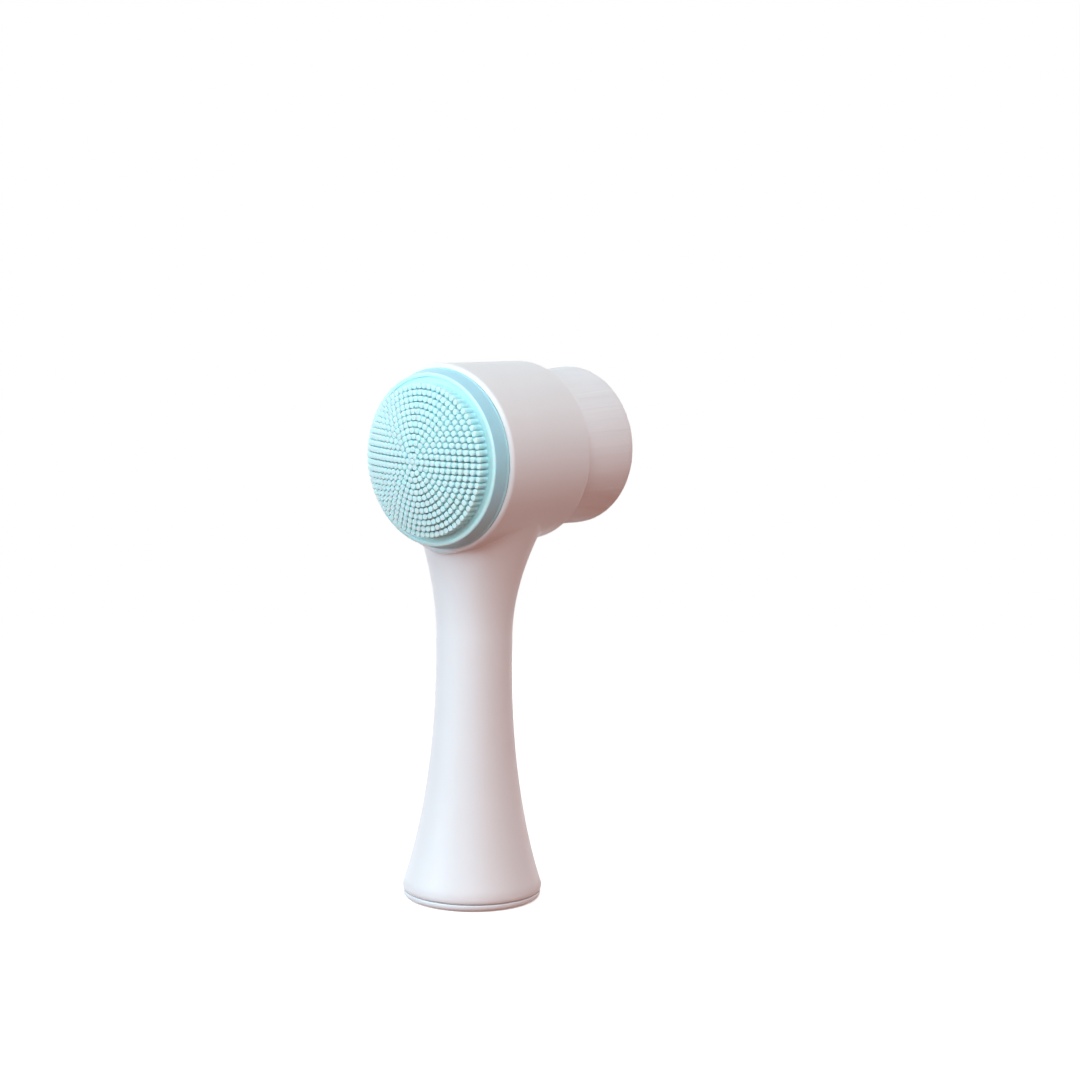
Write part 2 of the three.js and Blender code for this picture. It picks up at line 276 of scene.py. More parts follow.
def smooth_shaded(piece, sharp_degrees=38):
    piece.data.shade_smooth()
    piece.data.set_sharp_from_angle(angle=math.radians(sharp_degrees))
    return piece


def finished(piece, material, body, slot, *nodes):
    """Gives a piece its material and body, and hides the CAD nodes it stands for; the slot is not
    used.
    """
    piece.data.materials.clear()
    piece.data.materials.append(material)
    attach(piece, body)
    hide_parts(*nodes)
    return piece


# ------------------------------------------------------------------ material helpers
class Surface:
    """A Principled material and short calls for the nodes that feed it."""

    def __init__(self, name, **sockets):
        self.material = bpy.data.materials.new(name)
        self.material.use_nodes = True
        self.tree = self.material.node_tree
        self.shader = self.tree.nodes["Principled BSDF"]
        for socket, value in sockets.items():
            self.shader.inputs[socket.replace("_", " ")].default_value = value
        self.place = self.tree.nodes.new("ShaderNodeTexCoord").outputs["Object"]

    def link(self, output, socket):
        self.tree.links.new(output, socket)

    def noise(self, size_mm, detail=2.0, stretch=(1.0, 1.0, 1.0)):
        """Noise whose features are about size_mm across; stretch makes them longer."""
        mapping = self.tree.nodes.new("ShaderNodeMapping")
        mapping.inputs["Scale"].default_value = [1 / s for s in stretch]
        self.link(self.place, mapping.inputs["Vector"])
        node = self.tree.nodes.new("ShaderNodeTexNoise")
        node.inputs["Scale"].default_value = 1 / (size_mm * MM)
        node.inputs["Detail"].default_value = detail
        self.link(mapping.outputs["Vector"], node.inputs["Vector"])
        return node.outputs["Fac"]

    def attribute(self, name):
        node = self.tree.nodes.new("ShaderNodeAttribute")
        node.attribute_name = name
        return node.outputs["Fac"]

    def ramp(self, factor, *stops):
        """Colour ramp of (position, colour) stops."""
        node = self.tree.nodes.new("ShaderNodeValToRGB")
        elements = node.color_ramp.elements
        while len(elements) < len(stops):
            elements.new(0.5)
        for element, (position, colour) in zip(elements, stops):
            element.position = position
            element.color = (*colour, 1.0)
        self.link(factor, node.inputs["Fac"])
        return node.outputs["Color"]

    def spread(self, factor, low, high):
        """The factor, from 0.3 to 0.7 as noise mostly is, mapped to low..high."""
        node = self.tree.nodes.new("ShaderNodeMapRange")
        node.inputs["From Min"].default_value = 0.3
        node.inputs["From Max"].default_value = 0.7
        node.inputs["To Min"].default_value = low
        node.inputs["To Max"].default_value = high
        self.link(factor, node.inputs["Value"])
        return node.outputs["Result"]

    def multiplied(self, first, second):
        node = self.tree.nodes.new("ShaderNodeMix")
        node.data_type = "RGBA"
        node.blend_type = "MULTIPLY"
        sockets = {s.identifier: s for s in node.inputs}
        sockets["Factor_Float"].default_value = 1.0
        self.link(first, sockets["A_Color"])
        self.link(second, sockets["B_Color"])
        return {s.identifier: s for s in node.outputs}["Result_Color"]

    def bump(self, height, depth_mm):
        node = self.tree.nodes.new("ShaderNodeBump")
        node.inputs["Distance"].default_value = depth_mm * MM
        node.inputs["Strength"].default_value = 1.0
        self.link(height, node.inputs["Height"])
        self.link(node.outputs["Normal"], self.shader.inputs["Normal"])

    def colour(self, output):
        self.link(output, self.shader.inputs["Base Color"])

    def roughness(self, output):
        self.link(output, self.shader.inputs["Roughness"])


# ------------------------------------------------------------------ materials
def shell_plastic():
    """Satin white ABS: nearly even colour, faint flow clouding, slight orange peel."""
    surface = Surface(
        "shell_plastic", Subsurface_Weight=0.12, Subsurface_Radius=(0.9, 0.75, 0.65),
        Subsurface_Scale=0.002, IOR=1.5,
    )
    cloud = surface.noise(26.0, detail=3.0)
    surface.colour(surface.ramp(cloud, (0.3, (0.865, 0.86, 0.862)), (0.7, (0.885, 0.885, 0.89))))
    surface.roughness(surface.spread(surface.noise(5.0), 0.42, 0.50))
    surface.bump(surface.noise(0.9, detail=3.0), 0.006)
    return surface.material


def cap_plastic():
    """White moulding with a finely spark-eroded texture."""
    surface = Surface(
        "cap_plastic", Subsurface_Weight=0.08, Subsurface_Radius=(0.9, 0.75, 0.65),
        Subsurface_Scale=0.002, IOR=1.5,
    )
    cloud = surface.noise(14.0)
    surface.colour(surface.ramp(cloud, (0.3, (0.87, 0.92, 0.94)), (0.7, (0.90, 0.95, 0.97))))
    surface.roughness(surface.spread(surface.noise(2.5), 0.38, 0.48))
    surface.bump(surface.noise(0.35, detail=4.0), 0.015)
    return surface.material


def aqua_silicone():
    """Translucent aqua silicone with painted light and shade: painted shade makes it deep teal
    between the bristles, painted light makes it milky at their thin tips.
    """
    surface = Surface(
        "aqua_silicone", Subsurface_Weight=0.85, Subsurface_Radius=(0.5, 0.9, 1.0),
        Subsurface_Scale=0.0015, IOR=1.43, Sheen_Weight=0.06, Sheen_Roughness=0.5,
    )
    # Painted light and shade: the tip attribute sets a deep teal where shade falls between the
    # bristles, and a pale cyan for light at the tips, on the lifted margin and on the bead's
    # painted highlight.
    painted_light_and_shade = surface.ramp(
        surface.attribute("tip"),
        (0.0, (0.27, 0.59, 0.69)), (0.25, (0.40, 0.73, 0.82)), (0.5, (0.48, 0.78, 0.87)),
        (0.85, (0.63, 0.99, 0.99)), (1.0, (0.68, 1.0, 1.0)),
    )
    cloud = surface.ramp(
        surface.noise(6.0, detail=3.0), (0.3, (0.95, 0.97, 0.97)), (0.7, (1.0, 1.0, 1.0))
    )
    surface.colour(surface.multiplied(painted_light_and_shade, cloud))
    surface.roughness(surface.spread(surface.noise(1.6), 0.38, 0.50))
    surface.bump(surface.noise(0.4, detail=3.0), 0.01)
    return surface.material


def cartridge_plastic():
    """Natural polypropylene: milky, waxy, with flow marks."""
    surface = Surface(
        "cartridge_plastic", Subsurface_Weight=0.3, Subsurface_Radius=(1.0, 0.95, 0.9),
        Subsurface_Scale=0.002, IOR=1.49,
    )
    flow = surface.noise(9.0, detail=3.0, stretch=(1.0, 3.0, 1.0))
    surface.colour(surface.ramp(flow, (0.3, (0.70, 0.72, 0.73)), (0.7, (0.78, 0.80, 0.80))))
    surface.roughness(surface.spread(surface.noise(2.2), 0.40, 0.52))
    surface.bump(surface.noise(0.6, detail=3.0), 0.012)
    return surface.material


def set_resin():
    """Poured resin: amber tint, glossy, with small bubbles."""
    surface = Surface(
        "set_resin", Subsurface_Weight=0.35, Subsurface_Radius=(1.0, 0.7, 0.4),
        Subsurface_Scale=0.002, IOR=1.52,
    )
    cloud = surface.noise(4.0, detail=4.0)
    surface.colour(surface.ramp(cloud, (0.3, (0.60, 0.50, 0.30)), (0.7, (0.72, 0.64, 0.44))))
    surface.roughness(surface.spread(surface.noise(1.5), 0.12, 0.28))
    surface.bump(surface.noise(1.1, detail=2.0), 0.03)
    return surface.material


def white_fibre():
    """Fine nylon fibres: each a little lighter or darker, streaked along its length."""
    surface = Surface(
        "white_fibre", Subsurface_Weight=0.2, Subsurface_Radius=(1.0, 0.9, 0.85),
        Subsurface_Scale=0.0015, IOR=1.53, Sheen_Weight=0.12, Sheen_Roughness=0.4,
    )
    each = surface.ramp(
        surface.attribute("shade"), (0.0, (0.915, 0.92, 0.93)), (1.0, (0.94, 0.945, 0.96))
    )
    streak = surface.ramp(
        surface.noise(0.5, detail=2.0, stretch=(1.0, 40.0, 1.0)),
        (0.3, (0.985, 0.985, 0.985)), (0.7, (1.0, 1.0, 1.0)),
    )
    surface.colour(surface.multiplied(each, streak))
    surface.roughness(surface.spread(surface.noise(1.2, stretch=(1.0, 10.0, 1.0)), 0.5, 0.68))
    return surface.material


# ------------------------------------------------------------------ body shell
def barrel_radius(along):
    """Outside radius of the barrel at a place along its axis."""
    share = (along - BARREL_FRONT) / (BARREL_REAR - BARREL_FRONT)
    return BARREL_FRONT_RADIUS + (BARREL_REAR_RADIUS - BARREL_FRONT_RADIUS) * share


def barrel_outside():
    front = (BARREL_FRONT_RADIUS, BARREL_FRONT + LIP_DEPTH)
    rear = (BARREL_REAR_RADIUS, BARREL_REAR - REAR_EDGE_ROUND)
    return turned("barrel", [
        (0, BARREL_FRONT),
        *quarter_round(
            (MOUTH_RADIUS, BARREL_FRONT), (BARREL_FRONT_RADIUS, BARREL_FRONT), front, 14
        ),
        *straight(front, rear, 16),
        *quarter_round(
            rear, (BARREL_REAR_RADIUS, BARREL_REAR),
            (BARREL_REAR_RADIUS - REAR_EDGE_ROUND, BARREL_REAR),
        ),
        (0, BARREL_REAR),
    ])


def front_socket():
    return turned("front_socket", [
        (0, BARREL_FRONT - CUTTER_PAST),
        (MOUTH_RADIUS, BARREL_FRONT - CUTTER_PAST),
        (MOUTH_RADIUS, BARREL_FRONT),
        (FRONT_SOCKET_RADIUS, BARREL_FRONT + MOUTH_CHAMFER),
        (FRONT_SOCKET_RADIUS, BULKHEAD_FRONT),
        (0, BULKHEAD_FRONT),
    ])


def rear_socket():
    edge = 0.3
    return turned("rear_socket", [
        (0, BULKHEAD_REAR),
        (REAR_SOCKET_RADIUS, BULKHEAD_REAR),
        (REAR_SOCKET_RADIUS, BARREL_REAR - edge),
        (REAR_SOCKET_RADIUS + edge, BARREL_REAR),
        (REAR_SOCKET_RADIUS + edge, BARREL_REAR + CUTTER_PAST),
        (0, BARREL_REAR + CUTTER_PAST),
    ])


SADDLE_RADIUS = barrel_radius(NECK_LEAN) - SADDLE_SINK
NECK_TOP_Z = HEAD_Z - SADDLE_RADIUS * math.cos(SADDLE_ANGLE)
NECK_TOP_RADIUS = SADDLE_RADIUS * math.sin(SADDLE_ANGLE)
WAIST_Z = NECK_TOP_Z - NECK_LENGTH


def foot_flare(steps):
    """Lower flare of the handle, from the foot's widest ring up to the waist."""
    inward, upward = FOOT_PULL * math.sin(FOOT_SLOPE), FOOT_PULL * math.cos(FOOT_SLOPE)
    return bezier(
        (FOOT_RADIUS, FOOT_RIM_Z),
        (FOOT_RADIUS - inward, FOOT_RIM_Z + upward),
        (WAIST_RADIUS, WAIST_Z - FOOT_WAIST_PULL),
        (WAIST_RADIUS, WAIST_Z),
        steps,
    )


def neck_flare(steps):
    """Upper flare, from the waist up to where it runs into the barrel's side."""
    slope = math.pi / 2 - SADDLE_ANGLE - SADDLE_CREASE
    inward, downward = NECK_PULL * math.sin(slope), NECK_PULL * math.cos(slope)
    return bezier(
        (WAIST_RADIUS, WAIST_Z),
        (WAIST_RADIUS, WAIST_Z + NECK_WAIST_PULL),
        (NECK_TOP_RADIUS - inward, NECK_TOP_Z - downward),
        (NECK_TOP_RADIUS, NECK_TOP_Z),
        steps,
    )


def neck_point(radius, height, angle):
    """Point of the handle's outside, whose rings lean back towards the barrel's middle."""
    rise = min(max((height - WAIST_Z) / NECK_LENGTH, 0.0), 1.0)
    x, y, z = about_handle(radius, height, angle)
    return Vector((x, y + NECK_LEAN * rise * rise, z))


def barrel_normal(point):
    return Vector((point.x, 0.0, point.z - HEAD_Z)).normalized()


def above_barrel(point):
    """How far a point lies outside the barrel's outside."""
    return math.hypot(point.x, point.z - HEAD_Z) - barrel_radius(point.y)


def neck_column(angle, flare, rows, round_steps):
    """Points up one side of the neck, then round the crease and onto the barrel."""
    least_reach, sink = 0.25, 0.04
    path = [neck_point(radius, height, angle) for radius, height in flare]
    gaps = [above_barrel(p) for p in path]
    last = next((i for i, gap in enumerate(gaps) if gap <= 0), len(path) - 1)
    share = gaps[last - 1] / (gaps[last - 1] - gaps[last])
    crease = path[last - 1].lerp(path[last], share)
    climb = (path[last] - path[last - 1]).normalized()
    normal = barrel_normal(crease)
    away = climb - normal * climb.dot(normal)
    bend = math.acos(max(-1.0, min(1.0, climb.dot(away.normalized()))))
    reach = max(CREASE_ROUND * math.tan(bend / 2), least_reach)
    lengths = np.cumsum([0.0] + [(b - a).length for a, b in zip(path, path[1:])])
    crease_length = lengths[last - 1] + (crease - path[last - 1]).length
    coordinates = np.array([tuple(p) for p in path])

    def at_length(length):
        return Vector([np.interp(length, lengths, coordinates[:, k]) for k in range(3)])

    start = at_length(crease_length - reach)
    column = [at_length(s) for s in np.linspace(0, crease_length - reach, rows + 1)]
    outward = Vector((math.cos(angle), math.sin(angle), 0.0))
    side = outward - normal * outward.dot(normal)
    landing = crease + (side.normalized() if side.length > 0.05 else away.normalized()) * reach
    onto = barrel_normal(landing)
    landing -= onto * (above_barrel(landing) + sink)
    for i in range(1, round_steps + 1):
        turn = i / round_steps * math.pi / 2
        from_start, from_end = 1 - math.sin(turn), 1 - math.cos(turn)
        column.append(crease + (start - crease) * from_start + (landing - crease) * from_end)
    return column


def handle_outside():
    """Foot, flares and neck as one closed skin, whose top ends inside the barrel."""
    sides, foot_rows, neck_rows, round_steps = FINE_SIDES, 44, 44, 8
    foot_edge = quarter_round(
        (FOOT_RADIUS - 0.55, FOOT_Z),
        (FOOT_RADIUS - 0.2, FOOT_Z),
        (FOOT_RADIUS - 0.14, FOOT_Z + 0.4),
        4,
    )
    lower = [*foot_edge, *(tuple(p) for p in foot_flare(foot_rows))]
    flare = neck_flare(260)
    vertices, rings = [(0.0, 0.0, FOOT_Z)], [range(0, 1)]
    for radius, height in lower[:-1]:
        rings.append(range(len(vertices), len(vertices) + sides))
        vertices += [about_handle(radius, height, 2 * math.pi * i / sides) for i in range(sides)]
    columns = [
        neck_column(2 * math.pi * i / sides, flare, neck_rows, round_steps) for i in range(sides)
    ]
    for row in range(neck_rows + round_steps + 1):
        rings.append(range(len(vertices), len(vertices) + sides))
        vertices += [tuple(column[row]) for column in columns]
    rings.append(range(len(vertices), len(vertices) + 1))
    vertices.append((0.0, NECK_LEAN, HEAD_Z - BARREL_REAR_RADIUS / 2))
    return link("handle", vertices, grid_faces(rings))


def handle_hollow():
    """The hollow, drawn out through the foot, with the groove for the cap's snap bead."""
    bore, bore_top = CAP_BORE_RADIUS, CAP_TOP + 0.6
    groove, draft = 0.55, 0.012
    flare = [p for p in foot_flare(30) if p[1] > bore_top + 2]
    core_top = HEAD_Z - BARREL_FRONT_RADIUS - 6.5
    core_radius = WAIST_RADIUS - HANDLE_WALL - draft * (core_top - WAIST_Z)
    return turned("hollow", [
        (0, FOOT_Z - 1),
        (bore, FOOT_Z - 1),
        (bore, SNAP_Z - groove),
        (bore + groove, SNAP_Z),
        (bore, SNAP_Z + groove),
        (bore, bore_top),
        *[(min(radius - HANDLE_WALL, bore - 1), height) for radius, height in flare],
        *quarter_round(
            (core_radius, core_top - core_radius), (core_radius, core_top), (0, core_top)
        ),
    ], about_handle)


def body_shell(material):
    shell = combine(barrel_outside(), handle_outside(), "UNION")
    for cutter in (front_socket(), rear_socket(), handle_hollow()):
        combine(shell, cutter, "DIFFERENCE")
    shell.name = "shell"
    smooth_shaded(shell)
    return finished(shell, material, "body", "shell_plastic", "body_shell")


# ------------------------------------------------------------------ base cap
def base_cap(material):
    rim_height, edge_round, floor = 1.9, 1.4, 1.8
    plug, wall, bead = CAP_PLUG_RADIUS, 1.5, 0.35
    cap = turned("cap", [
        (0, 0),
        *quarter_round(
            (CAP_RIM_RADIUS - edge_round, 0), (CAP_RIM_RADIUS, 0), (CAP_RIM_RADIUS, edge_round)
        ),
        *quarter_round(
            (CAP_RIM_RADIUS, rim_height - 0.2), (CAP_RIM_RADIUS, rim_height),
            (CAP_RIM_RADIUS - 0.2, rim_height), 4
        ),
        (plug, rim_height),
        (plug, SNAP_Z - bead),
        (plug + bead, SNAP_Z),
        (plug, SNAP_Z + bead),
        (plug, CAP_TOP),
        (plug - wall, CAP_TOP),
        (plug - wall, floor),
        (0, floor),
    ], about_handle)
    for i in range(4):
        slot = block(
            "slot", (-1.2, floor + 1, plug - 2 * wall), (1.2, CAP_TOP + 1, plug + wall),
            math.radians(45 + 90 * i), about_handle,
        )
        combine(cap, slot, "DIFFERENCE")
    reach = plug - wall / 2
    for i in range(2):
        rib = block(
            "rib", (-0.7, floor / 2, -reach), (0.7, floor + 1.6, reach),
            math.radians(90 * i), about_handle,
        )
        combine(cap, rib, "UNION")
    smooth_shaded(cap)
    return finished(cap, material, "body", "cap_plastic", "base_cap")


# ------------------------------------------------------------------ silicone pad
def skin_height(radius):
    """Where the domed skin lies along the barrel's axis, at a radius inside the field."""
    return PAD_RIM + MARGIN_DEPTH - SKIN_DOME * (1 - (radius / FIELD_RADIUS) ** 2)


def tip_height(radius):
    """Where the bristles' tips lie along the barrel's axis."""
    return PAD_TIP + FIELD_DOME * (radius / FIELD_RADIUS) ** 2


def pad_skin():
    """The pad without its bristles: domed field, margin, rim bead, side wall and skirt."""
    field = [(radius, skin_height(radius)) for radius in np.linspace(0, FIELD_RADIUS, 25)]
    inside = SKIRT_OUTER_RADIUS - 1.5
    back = PAD_RIM + 2.2
    bead_inside = PAD_RIM_RADIUS - RIM_BEAD_WIDTH
    bead_top = (PAD_RIM_RADIUS - PAD_RIM_ROUND, PAD_RIM)
    bead_rise = (bead_inside + MARGIN_DEPTH, PAD_RIM)
    wall_start = (PAD_RIM_RADIUS, PAD_RIM + PAD_RIM_ROUND)
    foot_start = (PAD_WALL_RADIUS - 0.1, BARREL_FRONT - 0.75)
    foot_end = (MOUTH_RADIUS - 0.02, BARREL_FRONT - 0.3)
    return turned("pad", [
        *field,
        *straight(field[-1], (bead_inside, PAD_RIM + MARGIN_DEPTH), 4),
        *quarter_round(
            (bead_inside, PAD_RIM + MARGIN_DEPTH), (bead_inside, PAD_RIM), bead_rise, 6
        ),
        *quarter_round(bead_top, (PAD_RIM_RADIUS, PAD_RIM), wall_start, 8),
        *straight(wall_start, foot_start, 4),
        *quarter_round(foot_start, (PAD_WALL_RADIUS - 0.1, BARREL_FRONT - 0.3), foot_end, 6),
        (MOUTH_RADIUS - 0.02, BARREL_FRONT - 0.06),
        (SKIRT_OUTER_RADIUS, BARREL_FRONT + 1.3),
        (SKIRT_OUTER_RADIUS, SKIRT_END - 0.3),
        (SKIRT_OUTER_RADIUS - 0.3, SKIRT_END),
        (inside, SKIRT_END),
        (inside, back),
        (0, back),
    ])


def bristle_outline(length):
    """Half outline of one bristle, as (radius, height above the skin)."""
    foot = 0.05
    tip_radius, tip_round = BRISTLE_RADIUS * 0.98, 0.16
    return [
        (BRISTLE_RADIUS + foot, -BRISTLE_ROOT),
        (BRISTLE_RADIUS + foot, 0.0),
        (BRISTLE_RADIUS + foot * 0.25, 0.18),
        (BRISTLE_RADIUS, 0.5),
        (BRISTLE_RADIUS, length * 0.55),
        *quarter_round(
            (tip_radius, length - tip_round), (tip_radius, length),
            (tip_radius - tip_round, length - 0.03), 4,
        ),
        (0, length),
    ]


def bristle_section(radius, height, turn):
    """Point of a bristle's cross-section: round at its foot, a rounded square further up."""
    power = 2.0 + 1.2 * min(max(height, 0.0), 1.0)
    across, up = math.cos(turn), math.sin(turn)
    scale = radius / (abs(across) ** power + abs(up) ** power) ** (1 / power)
    return scale * across, scale * up


def bristle_field():
    """Rings of 6, 12, 18... bristles round a middle one, all in line at each ring's start."""
    sides = 14
    pitch = (FIELD_RADIUS - BRISTLE_RADIUS) / BRISTLE_RINGS
    vertices, faces = [], []
    for ring in range(BRISTLE_RINGS + 1):
        base, top = skin_height(ring * pitch), tip_height(ring * pitch)
        outline = [(0, -BRISTLE_ROOT), *bristle_outline(base - top)]
        around = max(1, 6 * ring)
        for i in range(around):
            angle = 2 * math.pi * i / around
            outward, round_ring = math.cos(angle), math.sin(angle)
            rings = []
            for radius, height in outline:
                count = sides if radius > 1e-6 else 1
                rings.append(range(len(vertices), len(vertices) + count))
                for k in range(count):
                    a, b = bristle_section(radius, height, 2 * math.pi * (k + 0.5) / sides)
                    a += ring * pitch
                    vertices.append((
                        a * outward - b * round_ring, base - height,
                        HEAD_Z + a * round_ring + b * outward,
                    ))
            faces += grid_faces(rings)
    return link("bristles", vertices, faces)


def paint_pad_light_and_shade(piece):
    """Stores painted light and shade: how near each point is to a bristle's tip, 0 (painted shade)
    on the skin, 1 (painted light) at the tip.

    The margin, bead, side wall and the outermost bristles' sides get a fixed value each: the margin
    and the outer sides are lifted out of their shade, the bead gets a painted highlight, and the
    wall gets a middle value.
    """
    count = len(piece.data.vertices)
    place = np.zeros(count * 3)
    piece.data.vertices.foreach_get("co", place)
    place = place.reshape(-1, 3) / MM
    radius = np.hypot(place[:, 0], place[:, 2] - HEAD_Z)
    skin = skin_height(radius)
    tip = np.clip((skin - place[:, 1]) / (skin - tip_height(radius)), 0, 1)
    # Painted light: the outer sides and the margin are lifted out of the shade they stand in, and
    # the bead is painted as a highlight.
    lifted_outer_sides, margin, wall, bead = 0.65, 0.8, 0.45, 0.93
    tip = np.where(radius > FIELD_RADIUS - BRISTLE_RADIUS, np.maximum(tip, lifted_outer_sides), tip)
    tip = np.where(radius > FIELD_RADIUS + 0.3, margin, tip)
    on_wall = (place[:, 1] > PAD_RIM + 0.1) & (radius > PAD_RIM_RADIUS - RIM_BEAD_WIDTH + 0.3)
    tip = np.where(on_wall | (place[:, 1] > PAD_RIM + 1.0), wall, tip)
    bead_highlight = (radius > PAD_RIM_RADIUS - RIM_BEAD_WIDTH + 0.1) & (place[:, 1] < PAD_RIM + 0.3)
    tip = np.where(bead_highlight, bead, tip)
    store = piece.data.attributes.new("tip", "FLOAT", "POINT")
    store.data.foreach_set("value", tip.astype(np.float32))


def silicone_pad(material):
    pad = combine(pad_skin(), bristle_field(), "UNION")
    # Paints light and shade onto the pad through its tip attribute.
    paint_pad_light_and_shade(pad)
    smooth_shaded(pad, 50)
    return finished(pad, material, "pad_cartridge", "silicone", "silicone_pad")


# ------------------------------------------------------------------ inner pieces
def grip_ribs(piece, radius, start, end):
    """Low ribs along a cartridge that centre it in its socket."""
    for i in range(6):
        rib = block("grip_rib", (-0.6, start, radius - 0.6), (0.6, end, radius + 0.1),
                    math.radians(30 + 60 * i))
        combine(piece, rib, "UNION")


def pad_carrier(material):
    plate, flange, wall = 2.0, 1.5, 1.7
    hub = SKIRT_OUTER_RADIUS - 1.8
    ring = FRONT_SOCKET_RADIUS - 0.2
    flange_start = SKIRT_END + 0.3
    ring_start = flange_start + flange
    edge = 0.25
    carrier = turned("carrier", [
        (0, CARRIER_FRONT),
        (hub - edge, CARRIER_FRONT),
        (hub, CARRIER_FRONT + edge),
        (hub, flange_start),
        (ring - edge, flange_start),
        (ring, flange_start + edge),
        (ring, CARRIER_TAIL - edge),
        (ring - edge, CARRIER_TAIL),
        (ring - wall, CARRIER_TAIL),
        (ring - wall, ring_start),
        (hub - wall, ring_start),
        (hub - wall, CARRIER_FRONT + plate),
        (0, CARRIER_FRONT + plate),
    ])
    reach = hub - wall / 2
    for i in range(3):
        rib = block("rib", (-0.75, CARRIER_FRONT + plate / 2, -reach), (0.75, ring_start, reach),
                    math.radians(60 * i))
        combine(carrier, rib, "UNION")
    grip_ribs(carrier, ring, flange_start + 1, CARRIER_TAIL - 0.5)
    smooth_shaded(carrier)
    return finished(carrier, material, "pad_cartridge", "cartridge_plastic", "pad_carrier")


def bristle_cup(material):
    wall, floor, edge = 1.1, 1.6, 0.5
    outer = REAR_SOCKET_RADIUS - 0.2
    cup = turned("cup", [
        (0, CUP_FRONT),
        *quarter_round((outer - edge, CUP_FRONT), (outer, CUP_FRONT), (outer, CUP_FRONT + edge), 4),
        *quarter_round((outer, CUP_RIM - 0.3), (outer, CUP_RIM), (outer - 0.3, CUP_RIM), 4),
        (outer - wall, CUP_RIM),
        (outer - wall, CUP_FRONT + floor),
        (0, CUP_FRONT + floor),
    ])
    grip_ribs(cup, outer, CUP_FRONT + 1, CUP_RIM - 1)
    smooth_shaded(cup)
    return finished(cup, material, "fibre_cartridge", "cartridge_plastic", "bristle_cup")


def root_resin(material):
    edge = 0.3
    middle = (RESIN_FRONT + RESIN_REAR) / 2
    resin = turned("resin", [
        (0, RESIN_FRONT),
        *quarter_round(
            (ROOT_RADIUS - edge, RESIN_FRONT), (ROOT_RADIUS, RESIN_FRONT), (ROOT_RADIUS, middle), 4
        ),
        *quarter_round(
            (ROOT_RADIUS, middle), (ROOT_RADIUS, RESIN_REAR), (ROOT_RADIUS - edge, RESIN_REAR), 4
        )[1:],
        (0, RESIN_REAR),
    ], sides=96)
    smooth_shaded(resin)
    return finished(resin, material, "fibre_cartridge", "resin", "root_resin")


# ------------------------------------------------------------------ fibre bundle
BUNDLE_MOUTH_RADIUS = REAR_SOCKET_RADIUS - 1.3
SPREAD_START = CUP_RIM + 0.6
SPREAD_END = SPREAD_START + 19
BUNDLE_EDGE_ROUND = 2.0
SIDE_FIBRES = 300
SIDE_FIBRE_RADIUS = 0.035
TIP_RADIUS = 0.17
TIP_PITCH = 0.4
ROW_PITCH = TIP_PITCH * 0.866


def bundle_radius(along):
    """Outside radius of the bundle at a place along its axis, before its end is rounded."""
    return float(np.interp(
        along,
        (SPREAD_START, SPREAD_START + 0.8, SPREAD_END),
        (ROOT_RADIUS, BUNDLE_MOUTH_RADIUS, BUNDLE_RADIUS),
    ))


def bundle_end(radius):
    """Where the fibres end, at a distance from the bundle's axis: the end's edge is rounded."""
    out = max(0.0, radius - (BUNDLE_RADIUS - BUNDLE_EDGE_ROUND))
    return BUNDLE_END - BUNDLE_EDGE_ROUND + math.sqrt(max(0.0, BUNDLE_EDGE_ROUND**2 - out**2))


def fibre_core(material):
    """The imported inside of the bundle, finely grooved along its length, under the tips."""
    chance = random.Random(7)
    sink, tip_sink, sides = 0.05, 0.15, 720
    grooves = [chance.uniform(0.0, 0.015) for _ in range(sides)]
    along = [BUNDLE_ROOT, SPREAD_START - 0.3, *np.linspace(SPREAD_START, SPREAD_END, 12)]
    side = [(bundle_radius(a) - sink, a) for a in along]
    end = BUNDLE_END - tip_sink
    outline = [
        *side,
        *quarter_round(
            (BUNDLE_RADIUS - sink, end - BUNDLE_EDGE_ROUND), (BUNDLE_RADIUS - sink, end),
            (BUNDLE_RADIUS - sink - BUNDLE_EDGE_ROUND, end),
        ),
    ]
    vertices, rings = [(0.0, BUNDLE_ROOT, HEAD_Z)], [range(0, 1)]
    for radius, place in outline:
        rings.append(range(len(vertices), len(vertices) + sides))
        vertices += [
            about_barrel(radius - grooves[i], place, 2 * math.pi * i / sides)
            for i in range(sides)
        ]
    rings.append(range(len(vertices), len(vertices) + 1))
    vertices.append((0.0, end, HEAD_Z))
    core = link("fibre_core", vertices, grid_faces(rings))
    store = core.data.attributes.new("shade", "FLOAT", "POINT")
    shades = [0.5] + [chance.random() for _ in range(sides)] * len(outline) + [0.5]
    store.data.foreach_set("value", np.array(shades, np.float32))
    smooth_shaded(core)
    return finished(core, material, "fibre_cartridge", "fibre", "bristle_bundle")


def add_fibre(vertices, faces, shades, centre, stops, thickness, shade, turn):
    """One three-sided fibre through (radius scale, along) stops, pointed at its last stop."""
    first = len(vertices)
    for scale, along in stops[:-1]:
        for k in range(3):
            angle = turn + 2 * math.pi * k / 3
            x = centre[0] * scale + thickness * math.cos(angle)
            z = centre[1] * scale + thickness * math.sin(angle)
            vertices.append((x, along, HEAD_Z + z))
    scale, along = stops[-1]
    vertices.append((centre[0] * scale, along, HEAD_Z + centre[1] * scale))
    rows = len(stops) - 1
    rings = [range(first + 3 * i, first + 3 * i + 3) for i in range(rows)]
    faces += grid_faces([*rings, range(first + 3 * rows, first + 3 * rows + 1)])
    faces.append((first + 2, first + 1, first))
    shades += [shade] * (3 * rows + 1)


def fibre_piece(name, material, vertices, faces, shades):
    piece = link(name, vertices, faces)
    store = piece.data.attributes.new("shade", "FLOAT", "POINT")
    store.data.foreach_set("value", np.array(shades, np.float32))
    piece.data.shade_smooth()
    return finished(piece, material, "fibre_cartridge", "fibre", "bristle_bundle")


